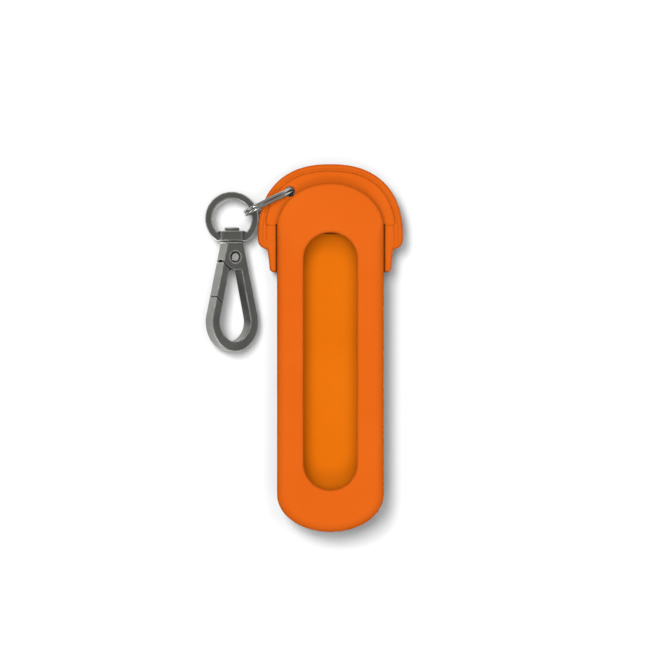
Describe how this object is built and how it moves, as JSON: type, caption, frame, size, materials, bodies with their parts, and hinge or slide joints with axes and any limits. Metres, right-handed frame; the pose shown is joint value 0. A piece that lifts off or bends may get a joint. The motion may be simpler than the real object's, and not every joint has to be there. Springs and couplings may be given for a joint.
{
  "type": "pocket tool case",
  "caption": "Moulded silicone sleeve with an open window and a hinged hood, carried by a split ring and a swivel snap hook, for a slim folding pocket tool.",
  "frame": {"origin": "middle of the sleeve's flat back face, half way along the whole case", "axes": "+Y along the sleeve toward the hood, +Z out of the windowed front, +X to the right seen from the front"},
  "size_m": [0.0416, 0.0768, 0.013],
  "materials": {
    "silicone": "satin moulded silicone",
    "ring_steel": "bright nickel-plated steel",
    "gunmetal": "gunmetal-plated zinc alloy",
    "pin_steel": "plain steel"
  },
  "bodies": {
    "case": {"sleeve": "silicone", "living_hinge": "silicone"},
    "hood": {"hood": "silicone"},
    "ring": {"split_ring": "ring_steel"},
    "eye": {"swivel_eye": "gunmetal"},
    "hook": {"hook_body": "gunmetal", "swivel_rivet": "gunmetal", "gate_pin": "pin_steel", "gate_spring": "pin_steel"},
    "gate": {"gate": "gunmetal"}
  },
  "joints": [
    {"name": "hood_hinge", "type": "hinge", "parent": "case", "child": "hood", "pos_m": [0, 0.0249, 0.00055], "axis": [-1, 0, 0], "range_deg": [0, 110], "stiffness_Nm_per_rad": 0.001, "deforming": ["living_hinge"]},
    {"name": "ring_swing", "type": "hinge", "parent": "hood", "child": "ring", "pos_m": [-0.00853, 0.03263, 0.006], "axis": [0, 0, 1], "range_deg": [-100, 3]},
    {"name": "eye_swing", "type": "hinge", "parent": "ring", "child": "eye", "pos_m": [-0.01761, 0.0282, 0.0046], "axis": [0, 0, 1], "range_deg": [-60, 4]},
    {"name": "hook_swivel", "type": "hinge", "parent": "eye", "child": "hook", "pos_m": [-0.02071, 0.02708, 0.0046], "axis": [0, 1, 0], "continuous": true},
    {"name": "gate_hinge", "type": "hinge", "parent": "hook", "child": "gate", "pos_m": [-0.02071, 0.01898, 0.0046], "axis": [0.454, 0, 0.891], "range_deg": [0, 25], "stiffness_Nm_per_rad": 0.0008, "springref_deg": -11.46, "deforming": ["gate_spring"]}
  ]
}
